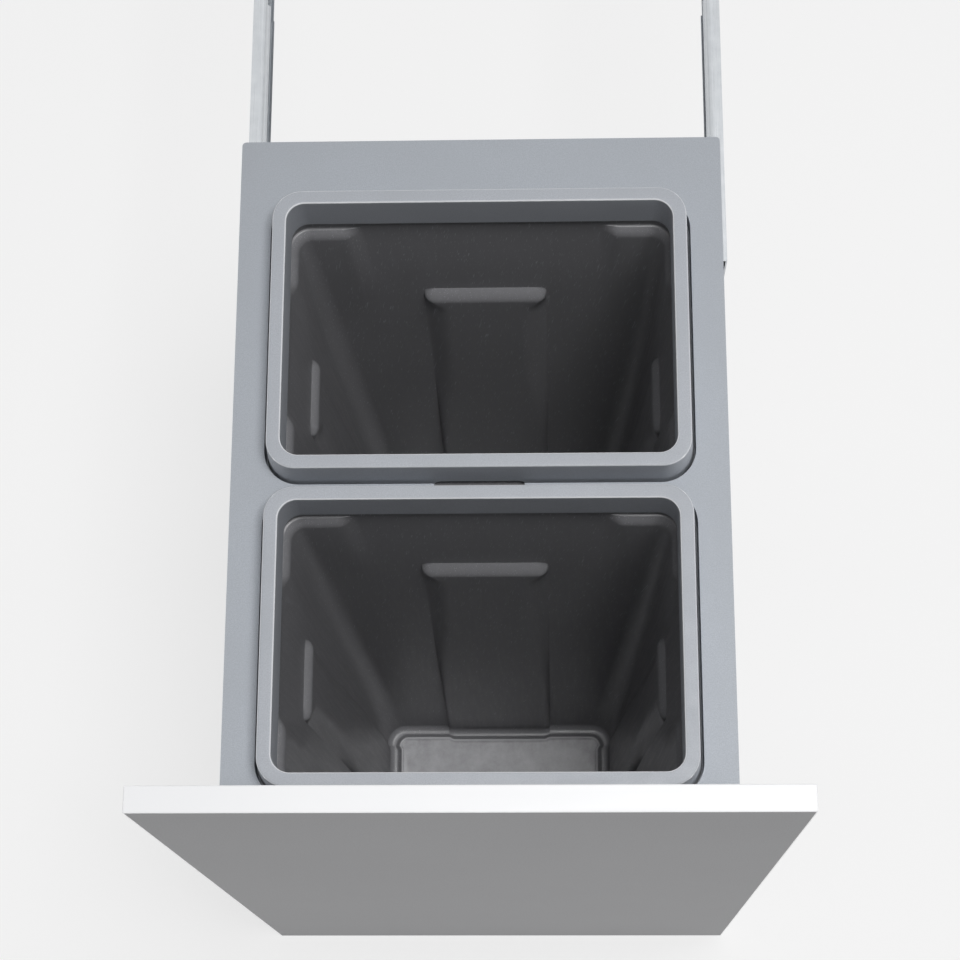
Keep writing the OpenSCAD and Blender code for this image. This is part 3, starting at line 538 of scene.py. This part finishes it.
# half the length of a wall's middle, at the shoulder and at the bottom
STRETCH_X, STRETCH_X_END = 84, 61.9
STRETCH_Y, STRETCH_Y_END = 40, 21.25
# the blend into the corners widens downwards, and this share of its growth lies on the middle's side
STRETCH_BLEND, BLEND_MORE, BLEND_FALL, BLEND_BEFORE = 15, 16, 120, 0.6
STRETCH_DROP = SHOULDER_Z - BIN_BOTTOM
# each wall has a panel pressed in, cut off by a sloped ledge on top
PRESS_IN, SIDE_PRESS_IN, PRESS_Z = 7, 5, 485
PRESS_X, PRESS_Y = 46, 29.5
LEDGE_SLOPE, LEDGE_END, LEDGE_CURVE = 1.5, 7, 1.6
# the panel's sides are round: their widths at the top, where they are softest and low down
SIDE_TOP, SIDE_SOFT, SIDE_LOW = 8, 20, 5
# depths below the ledge's top from which they turn soft and low, and over which they do
SOFT_FROM, SOFT_OVER, LOW_FROM, LOW_OVER = 8, 22, 130, 150
PRESS_FADE, PRESS_AT_FLOOR, NO_CROWN = 40, 0.42, 1e-6
LIP_TOP, LIP_EDGE = 616, 0.8
RIM_W, RIM_L, RIM_R = 291, 206.5, 23
RIM_FILLET, RIM_EDGE_IN, RIM_EDGE_H = 1, 0.4, 0.5
# raised field of the floor, with a bead round it whose crest carries a painted highlight: set-off and height
# of each row
FIELD_Z, FIELD_W, FIELD_L, FIELD_R = 36, 183, 74.5, 9
BEAD = ((-3.5, 0), (-2.25, 0.5), (-1.25, 0.8), (-0.4, 0.4), (0.2, -0.6), (2.3, -3.6), (3.3, -4))
BEAD_CREST, BEAD_OUT = 0.8, 3.4
# heights within which a point is on the bead's crest or on the field
CREST_PLAY, FIELD_PLAY = 0.02, 0.1
# the field is notched beside each panel: depth of the notch, and width of the edge that moves with it
FIELD_NOTCH, FIELD_BAND = 2, 4
# rows of the inside from the foot up: heights on plain wall, depths below the ledge's and shoulder's tops
LOW_ROWS = (44, 60, 90, 140, 190, 240, 290, 320, 350, 380, 405, 425)
LEDGE_ROWS = (45, 35, 27, 21, 17, 14, 12, 10.5, 9, 7.5, 6, 4.5, 3, 1.8, 0.8, 0)
UPPER_ROWS = (486, 492, 510, 530, 550)
SHOULDER_ROWS = (18, 12, 9, 7.5, 6, 4.5, 3.5, 2.5, 1.7, 1, 0.4, 0)
INNER_ROWS = [*LOW_ROWS, *(PRESS_Z - down for down in LEDGE_ROWS),
              *UPPER_ROWS, *(SHOULDER_Z - down for down in SHOULDER_ROWS)]
# lines cut into the walls, by their distance inside a panel's edge and outside the end of a wall's middle
PRESS_CUTS = (20, 16, 13, 10.5, 8, 6.5, 5, 3.5, 2.2, 1.2, 0.5, 0.1, 0)
STRETCH_CUTS = (-12, -6, 0, 2, 4, 6, 8, 10, 12, 15, 19)
CUT_PLAY = 1e-4
# a wall's own points lie at most so far inside its outline, also round the foot, and so far outside it
NEAR_WALL, NEAR_FOOT, OUTSIDE = 8, 9, 1
# points up to this height above its upper edge count as the foot's
FOOT_PLAY = 1
# so much of each end of a wall belongs to the corners
CORNER_KEEP = 10


def body_section(inset, z):
    """A level section of the tapered body, drawn in by inset."""
    t = min(max((PLATE_Z - z) / (PLATE_Z - FOOT_Z), 0), 1)
    return (BIN_W - 2 * TAPER_X * t - 2 * inset, BIN_L - 2 * TAPER_Y * t - 2 * inset,
            BIN_R + (FOOT_R - BIN_R) * t - inset, z)


def grown(section, by, z):
    """A section grown outwards all round, or drawn in, and set at z."""
    w, l, r, _ = section
    return w + 2 * by, l + 2 * by, r + by, z


def shoulder(z, top):
    """How far the corners have stepped in at z, below the shoulder's top; the step fades out downwards."""
    step = SHOULDER_IN * ramp((z - top) / SHOULDER_FADE + 1)
    return step * (1 - (1 - min(max((top - z) / SHOULDER_H, 0), 1)) ** 2)


def foot_sections(inset, bottom):
    """The rounded foot of a wall, from its upper edge in and down to the bottom."""
    upper = body_section(inset, FOOT_Z)
    return [grown(upper, -FOOT_INSET * (1 - c), FOOT_Z - (FOOT_Z - bottom) * s) for s, c in arc(FOOT_STEPS)]


def bin_sections():
    """Sections from the floor's raised field up the inside, over the lip and rim and down the outside."""
    field = (FIELD_W, FIELD_L, FIELD_R, FIELD_Z)
    mouth = (BIN_W, BIN_L, BIN_R, LIP_TOP)
    rim = (RIM_W, RIM_L, RIM_R, RIM_Z)
    rows = [grown(field, by, FIELD_Z + up) for by, up in BEAD]
    rows += foot_sections(WALL, FLOOR_Z)[::-1]
    rows += [body_section(WALL + shoulder(z, SHOULDER_Z), z) for z in INNER_ROWS]
    # the wall is thinner just under the ring, so that a dark gap shows there
    rows += [body_section(WALL - REBATE, z) for z in (SHOULDER_Z + REBATE_EDGE, RIM_Z)]
    rows += [body_section(WALL, z) for z in (RIM_Z + REBATE, PLATE_Z, LIP_TOP - LIP_EDGE)]
    rows += [grown(mouth, LIP_EDGE - WALL, LIP_TOP), grown(mouth, -LIP_EDGE, LIP_TOP)]
    rows += [grown(mouth, 0, LIP_TOP - LIP_EDGE)]
    rows += [grown(mouth, 0, RIM_Z + RIM_FILLET), grown(mouth, RIM_FILLET, RIM_Z)]
    rows += [grown(rim, -RIM_EDGE_IN, RIM_Z), grown(rim, 0, RIM_Z - RIM_EDGE_H)]
    rows += [grown(rim, 0, LEDGE_Z + RIM_EDGE_H), grown(rim, -RIM_EDGE_IN, LEDGE_Z)]
    rows += [body_section(-RIM_FILLET, LEDGE_Z), body_section(0, LEDGE_Z - RIM_FILLET)]
    outer_rows = [z - WALL for z in INNER_ROWS[::-1]]
    rows += [body_section(shoulder(z, SHOULDER_Z - WALL), z) for z in outer_rows]
    rows += foot_sections(0, BIN_BOTTOM)
    # the bottom is hollowed a little inside the edge that it stands on
    stand = rows[-1]
    rows += [grown(stand, -STAND_W, BIN_BOTTOM), grown(stand, -STAND_W - HOLLOW, BIN_BOTTOM + HOLLOW)]
    return rows


def panel_depth(across, z, half, full):
    """Depth of a pressed-in panel at a point of its wall, up to the full depth."""
    below = PRESS_Z - z
    low = ramp((below - LOW_FROM) / LOW_OVER)
    soft = ramp((below - SOFT_FROM) / SOFT_OVER) - low
    side = SIDE_TOP + (SIDE_SOFT - SIDE_TOP) * soft + (SIDE_LOW - SIDE_TOP) * low
    u = min(max((abs(across) - half) / side + 1, 0), 1)
    # a quarter round, drawn out where the side is soft
    crown = (1 - u * u) ** (0.5 + soft)
    if crown < NO_CROWN:
        return 0.0
    at_floor = PRESS_AT_FLOOR + (1 - PRESS_AT_FLOOR) * ramp((z - FLOOR_Z) / PRESS_FADE)
    depth = full * at_floor * crown
    down = min(max(below - LEDGE_END * (1 - crown), 0) / (LEDGE_SLOPE * depth), 1)
    return depth * (1 - (1 - down) ** LEDGE_CURVE)


def wall_shift(across, out, z, half, stretch, press):
    """How far a point of a wall moves out from the stepped-in section; half is the wall's own distance."""
    inner_step, outer_step = shoulder(z, SHOULDER_Z), shoulder(z, SHOULDER_Z - WALL)
    is_inner = out < half - (WALL + inner_step + outer_step) / 2
    rebate = REBATE * ramp((z - SHOULDER_Z) / REBATE_FADE + 1)
    step = inner_step + rebate if is_inner else outer_step
    top, end = stretch
    more = BLEND_MORE * ramp((SHOULDER_Z - z) / BLEND_FALL)
    start = top + (end - top) * (SHOULDER_Z - z) / STRETCH_DROP - BLEND_BEFORE * more
    in_middle = 1 - ramp((abs(across) - start) / (STRETCH_BLEND + more))
    return step * in_middle - panel_depth(across, z, *press)


def field_shift(across, press):
    """How far the edge of the floor's field is drawn in beside a panel."""
    return -FIELD_NOTCH * (1 - ramp((abs(across) - press) / SIDE_LOW + 1))


def mark_highlight_and_wear(bm):
    """Marks the bead's crest for a painted highlight and the field as scuffed, for the bin's finish."""
    painted_highlight = bm.verts.layers.float.new("painted_highlight")
    scuffed = bm.verts.layers.float.new("scuffed")
    for v in bm.verts:
        x, y, z = v.co
        # the bead's crest gets the painted highlight, the field gets real scuffing
        v[painted_highlight] = float(abs(z - FIELD_Z - BEAD_CREST) < CREST_PLAY)
        v[scuffed] = float(z > FIELD_Z - FIELD_PLAY and abs(x) < FIELD_W / 2 and abs(y) < FIELD_L / 2)


def slice_at(bm, point, normal):
    """Cuts a line into all faces that a plane crosses."""
    geometry = list(bm.verts) + list(bm.edges) + list(bm.faces)
    bmesh.ops.bisect_plane(bm, geom=geometry, dist=CUT_PLAY, plane_co=point, plane_no=normal)


def cut_lines(bm):
    """Cuts lines along the panels' sides and along the edges of the stepped corners."""
    for sign in (-1, 1):
        for step in PRESS_CUTS:
            slice_at(bm, (sign * (PRESS_X - step), 0, 0), (1, 0, 0))
            slice_at(bm, (0, sign * (PRESS_Y - step), 0), (0, 1, 0))
        for step in STRETCH_CUTS:
            slice_at(bm, (sign * (STRETCH_X + step), 0, SHOULDER_Z),
                     (STRETCH_DROP, 0, sign * (STRETCH_X_END - STRETCH_X)))
            slice_at(bm, (0, sign * (STRETCH_Y + step), SHOULDER_Z),
                     (0, STRETCH_DROP, sign * (STRETCH_Y_END - STRETCH_Y)))


def shape_walls(bm):
    """Moves points of the walls and of the field's edge to the shoulders, panels and notches."""
    for v in bm.verts:
        x, y, z = v.co
        if z > SHOULDER_Z:
            continue
        w, l, _, _ = body_section(0, z)
        near = NEAR_WALL if z > FOOT_Z + FOOT_PLAY else NEAR_FOOT
        on_floor = z < FOOT_Z and abs(x) < FIELD_W / 2 + BEAD_OUT and abs(y) < FIELD_L / 2 + BEAD_OUT
        if on_floor and abs(y) > FIELD_L / 2 - FIELD_BAND and abs(x) < FIELD_W / 2 - FIELD_R:
            v.co.y += field_shift(x, PRESS_X) * math.copysign(1, y)
        elif on_floor and abs(x) > FIELD_W / 2 - FIELD_BAND and abs(y) < FIELD_L / 2 - FIELD_R:
            v.co.x += field_shift(y, PRESS_Y) * math.copysign(1, x)
        elif on_floor:
            continue
        elif l / 2 - near < abs(y) < l / 2 + OUTSIDE and abs(x) < w / 2 - CORNER_KEEP:
            shift = wall_shift(x, abs(y), z, l / 2, (STRETCH_X, STRETCH_X_END), (PRESS_X, PRESS_IN))
            v.co.y += shift * math.copysign(1, y)
        elif w / 2 - near < abs(x) < w / 2 + OUTSIDE and abs(y) < l / 2 - CORNER_KEEP:
            shift = wall_shift(y, abs(x), z, w / 2, (STRETCH_Y, STRETCH_Y_END), (PRESS_Y, SIDE_PRESS_IN))
            v.co.x += shift * math.copysign(1, x)


def waste_bin(name, node, y0):
    """A bin centred on Y = y0, lofted and then shaped at X = Y = 0."""
    bm = bmesh.new()
    loft(bm, bin_sections(), 0, closed=False)
    mark_highlight_and_wear(bm)
    cut_lines(bm)
    shape_walls(bm)
    bmesh.ops.translate(bm, verts=bm.verts, vec=(0, y0, 0))
    bmesh.ops.scale(bm, vec=(MM, MM, MM), verts=bm.verts)
    bmesh.ops.recalc_face_normals(bm, faces=bm.faces)
    weigh_normals(make_piece(bm, name, node, BIN_SHARP_DEG))


waste_bin("rear_waste_bin", "rear_bin", REAR_Y)
waste_bin("front_waste_bin", "front_bin", FRONT_Y)


# Sheet metal, front panel and runners

# node, piece and width of its broken edges in millimetres
for node, name, width in (
    ("carrier_plate", "carrier_sheet", 0.5),
    ("left_side_plate", "left_side_sheet", 0.4),
    ("right_side_plate", "right_side_sheet", 0.4),
    ("rear_cross_bar", "rear_bar_angle", 0.4),
    ("front_cross_bar", "front_bar_angle", 0.4),
    ("left_front_bracket", "left_front_angle", 0.4),
    ("right_front_bracket", "right_front_angle", 0.4),
    ("front_panel", "front_board", 0.15),
):
    soften(node, name, width)


band_low, band_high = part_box("edge_band")
# a point this near to the band's outside lies on it, in metres
ON_FACE = 1e-5


def on_band_outside(edge):
    """Whether both ends of an edge lie on the outside of the band."""
    return all(min(v.co.x - band_low[0], band_high[0] - v.co.x,
                   v.co.z - band_low[2], band_high[2] - v.co.z) < ON_FACE for v in edge.verts)


soften("edge_band", "front_edge_band", width_mm=0.9, chosen=on_band_outside, segments=4)


for side in ("left", "right"):
    soften(side + "_release_lever", side + "_release_tab", width_mm=0.6)
    soften(side + "_rail_stop", side + "_stop_block", width_mm=0.6)


# Fasteners and buffers

# head's diameter to the shank's, and its height to the shank's diameter
HEAD_TO_SHANK, HEAD_HEIGHT = 1.9, 0.5
# a pan head's outline, as shares of its radius and height
PAN_HEAD = ((0, 1), (0.45, 0.96), (0.72, 0.82), (0.9, 0.58), (1, 0.22), (1, 0))
# height of the tip's bevel in millimetres, and the radius of its end as a share of the shank's
TIP_BEVEL, TIP_R = 0.5, 0.75
# cross recess, as shares of the head's diameter and height, and what its cutter stands out by in millimetres
RECESS_REACH, RECESS_WIDTH, RECESS_DEPTH, RECESS_OVER = 0.27, 0.11, 0.65, 1
# a face is upright where its normal's Z is below this
UPRIGHT = 0.5
# steps of a full turn, and the distance in millimetres within which its points are one point
TURN_STEPS, TURN_MERGE = 28, 1e-4
# a buffer's dome ends in a small step at this angle from its top
DOME_STEPS, DOME_END_DEG = 6, 80


def solids(node):
    """The lowest and highest corners of a node's separate solids, in millimetres."""
    bm = bmesh.new()
    bm.from_mesh(nodes[node].data)
    bmesh.ops.remove_doubles(bm, verts=bm.verts, dist=MERGE)
    left = set(bm.verts)
    boxes = []
    while left:
        found = rim = {left.pop()}
        while rim:
            rim = {edge.other_vert(v) for v in rim for edge in v.link_edges} & left
            left -= rim
            found = found | rim
        boxes.append([Vector([pick(v.co[i] for v in found) / MM for i in range(3)]) for pick in (min, max)])
    bm.free()
    return sorted(boxes, key=lambda box: list(box[0]))


def put(bm, part, point, out):
    """Adds a part that was made upright in millimetres, its foot at a point and its axis turned to out."""
    turn = Vector((0, 0, 1)).rotation_difference(out).to_matrix().to_4x4()
    place = Matrix.Translation(point * MM) @ turn @ Matrix.Scale(MM, 4)
    bmesh.ops.transform(part, matrix=place, verts=part.verts)
    mesh = bpy.data.meshes.new("part")
    part.to_mesh(mesh)
    part.free()
    bm.from_mesh(mesh)
    bpy.data.meshes.remove(mesh)


def turned(profile):
    """A solid turned from a profile of radius and height."""
    part = bmesh.new()
    points = [part.verts.new((r, 0, h)) for r, h in profile]
    edges = [part.edges.new(pair) for pair in zip(points, points[1:])]
    bmesh.ops.spin(part, geom=points + edges, cent=(0, 0, 0), axis=(0, 0, 1), angle=math.tau,
                   steps=TURN_STEPS, use_merge=True)
    bmesh.ops.remove_doubles(part, verts=part.verts, dist=TURN_MERGE)
    bmesh.ops.recalc_face_normals(part, faces=part.faces)
    return part


def cross(width, reach, low, high):
    """A plus-shaped block between two heights."""
    part = bmesh.new()
    bmesh.ops.create_cube(part, size=width)
    bmesh.ops.scale(part, vec=(1, 1, (high - low) / width), verts=part.verts)
    bmesh.ops.translate(part, vec=(0, 0, (low + high) / 2), verts=part.verts)
    part.normal_update()
    sides = [face for face in part.faces if abs(face.normal.z) < UPRIGHT]
    for face in bmesh.ops.extrude_discrete_faces(part, faces=sides)["faces"]:
        bmesh.ops.translate(part, vec=face.normal * (reach - width / 2), verts=face.verts)
    bmesh.ops.recalc_face_normals(part, faces=part.faces)
    return part


def screws(node, name, head_way):
    """Pan-head screws with a cross recess, in place of a node's plain ones.

    head_way tells from a screw's middle which way its head points.
    """
    bm, recesses = bmesh.new(), bmesh.new()
    for low, high in solids(node):
        middle, size = (low + high) / 2, high - low
        out = head_way(middle)
        length = abs(size.dot(out))
        head = max(s for s, o in zip(size, out) if o == 0) / 2
        shank = head / HEAD_TO_SHANK
        top = 2 * shank * HEAD_HEIGHT
        tip = top - length
        seat = middle + out * (length / 2 - top)
        profile = [(r * head, h * top) for r, h in PAN_HEAD]
        profile += [(shank, 0), (shank, tip + TIP_BEVEL), (TIP_R * shank, tip), (0, tip)]
        put(bm, turned(profile), seat, out)
        block = cross(2 * RECESS_WIDTH * head, 2 * RECESS_REACH * head,
                      top * (1 - RECESS_DEPTH), top + RECESS_OVER)
        put(recesses, block, seat, out)
    piece = make_piece(bm, name, node)
    cut(piece, recesses)
    smooth(piece.data)


def outwards(point):
    """The way out to the side that a point is on."""
    return Vector((math.copysign(1, point.x), 0, 0))


def inwards(point):
    """The way from the front panel into the frame, the same for every point."""
    return Vector((0, 1, 0))


screws("rail_screws", "rail_pan_screws", outwards)
screws("frame_bolts", "frame_pan_bolts", outwards)
screws("front_screws", "front_pan_screws", inwards)
for place in ("rail", "plate", "frame"):
    soften(place + "_nuts", place + "_hex_nuts", width_mm=0.25)


def buffer_dots(name, node):
    """Soft domes on the back of the front panel."""
    bm = bmesh.new()
    for low, high in solids(node):
        size = high - low
        r, h = size.x / 2, size.y
        foot = Vector(((low.x + high.x) / 2, low.y, (low.z + high.z) / 2))
        dome = [(r * s, h * c) for s, c in arc(DOME_STEPS, 0, DOME_END_DEG)] + [(r, 0), (0, 0)]
        put(bm, turned(dome), foot, inwards(foot))
    make_piece(bm, name, node)


buffer_dots("buffer_domes", "front_buffers")


# Floor, light and camera

WHITE = (1, 1, 1, 1)
# half the floor's side, and how far it lies below the object, in metres
FLOOR_REACH, FLOOR_DROP = 40.0, 0.002
# share of plain white in what the camera sees of the floor, and the world's light on the object
FLOOR_GLOW, WORLD_LIGHT = 0.7, 0.16
# name, place and target in metres, width in metres, power in watts; the low fills are for the outside,
# below the plate so that they don't reach into the bins
LAMPS = (
    ("overhead", (0.5, -0.40, 3.2), (0, -0.2, 0.6), 0.9, 50),
    ("front", (0.4, -2.7, 0.35), (0, -0.45, 0.4), 1.2, 18),
    ("left", (-2.7, 0.1, 0.35), (0, 0, 0.4), 1.2, 16),
    ("right", (2.7, 0.1, 0.35), (0, 0, 0.4), 1.2, 16),
    ("back", (-0.4, 3.0, 0.35), (0, 0, 0.4), 1.2, 20),
)
CAMERA_PLACE = (0.048, -0.6338, 2.0467)
CAMERA_TURN_DEG = (16.616, 1.851, 0.133)
LENS_MM, SENSOR_MM = 83.68, 36.0


def seen_by(tree, *rays):
    """1 for rays of the named kinds, else 0."""
    path = add(tree, "ShaderNodeLightPath")
    seen = path.outputs[rays[0]]
    for ray in rays[1:]:
        seen = add(tree, "ShaderNodeMath", {0: seen, 1: path.outputs[ray]}, operation="MAXIMUM").outputs[0]
    return seen


def pale_floor():
    """Matt white studio floor: the camera sees it near white, with the object's shadow on it."""
    m, t, shader, _ = finish_start("studio_floor", Roughness=0.9)
    shader.inputs["Base Color"].default_value = linear("#F2F2F2")
    glow = add(t, "ShaderNodeEmission", {"Color": WHITE, "Strength": 1.0}).outputs["Emission"]
    seen = seen_by(t, "Is Camera Ray", "Is Glossy Ray")
    part = add(t, "ShaderNodeMath", {0: seen, 1: FLOOR_GLOW}, operation="MULTIPLY").outputs[0]
    mix = add(t, "ShaderNodeMixShader", {0: part, 1: shader.outputs["BSDF"], 2: glow}).outputs["Shader"]
    t.links.new(mix, t.nodes["Material Output"].inputs["Surface"])
    return m


bm = bmesh.new()
bmesh.ops.create_grid(bm, x_segments=1, y_segments=1, size=FLOOR_REACH)
floor_mesh = bpy.data.meshes.new("floor")
bm.to_mesh(floor_mesh)
bm.free()
floor_mesh.materials.append(pale_floor())
floor = bpy.data.objects.new("floor", floor_mesh)
floor.location.z = -FLOOR_DROP
bpy.context.scene.collection.objects.link(floor)

world = bpy.data.worlds.new("studio")
bpy.context.scene.world = world
world.use_nodes = True
sky = world.node_tree
background = sky.nodes["Background"]
background.inputs["Color"].default_value = WHITE
seen = seen_by(sky, "Is Camera Ray", "Is Glossy Ray", "Is Transmission Ray")
level = add(sky, "ShaderNodeMapRange", {"Value": seen, "To Min": WORLD_LIGHT, "To Max": 1.0})
sky.links.new(level.outputs["Result"], background.inputs["Strength"])

for name, place, target, size, power in LAMPS:
    lamp = bpy.data.lights.new(name, "AREA")
    lamp.shape = "SQUARE"
    lamp.size = size
    lamp.energy = power
    thing = bpy.data.objects.new(name, lamp)
    thing.location = place
    thing.rotation_euler = (Vector(target) - Vector(place)).to_track_quat("-Z", "Y").to_euler()
    bpy.context.scene.collection.objects.link(thing)

camera_data = bpy.data.cameras.new("camera")
camera_data.sensor_width = SENSOR_MM
camera_data.lens = LENS_MM
camera = bpy.data.objects.new("camera", camera_data)
camera.location = CAMERA_PLACE
camera.rotation_euler = [math.radians(turn) for turn in CAMERA_TURN_DEG]
bpy.context.scene.collection.objects.link(camera)
bpy.context.scene.camera = camera
bpy.context.scene.view_settings.view_transform = "Standard"
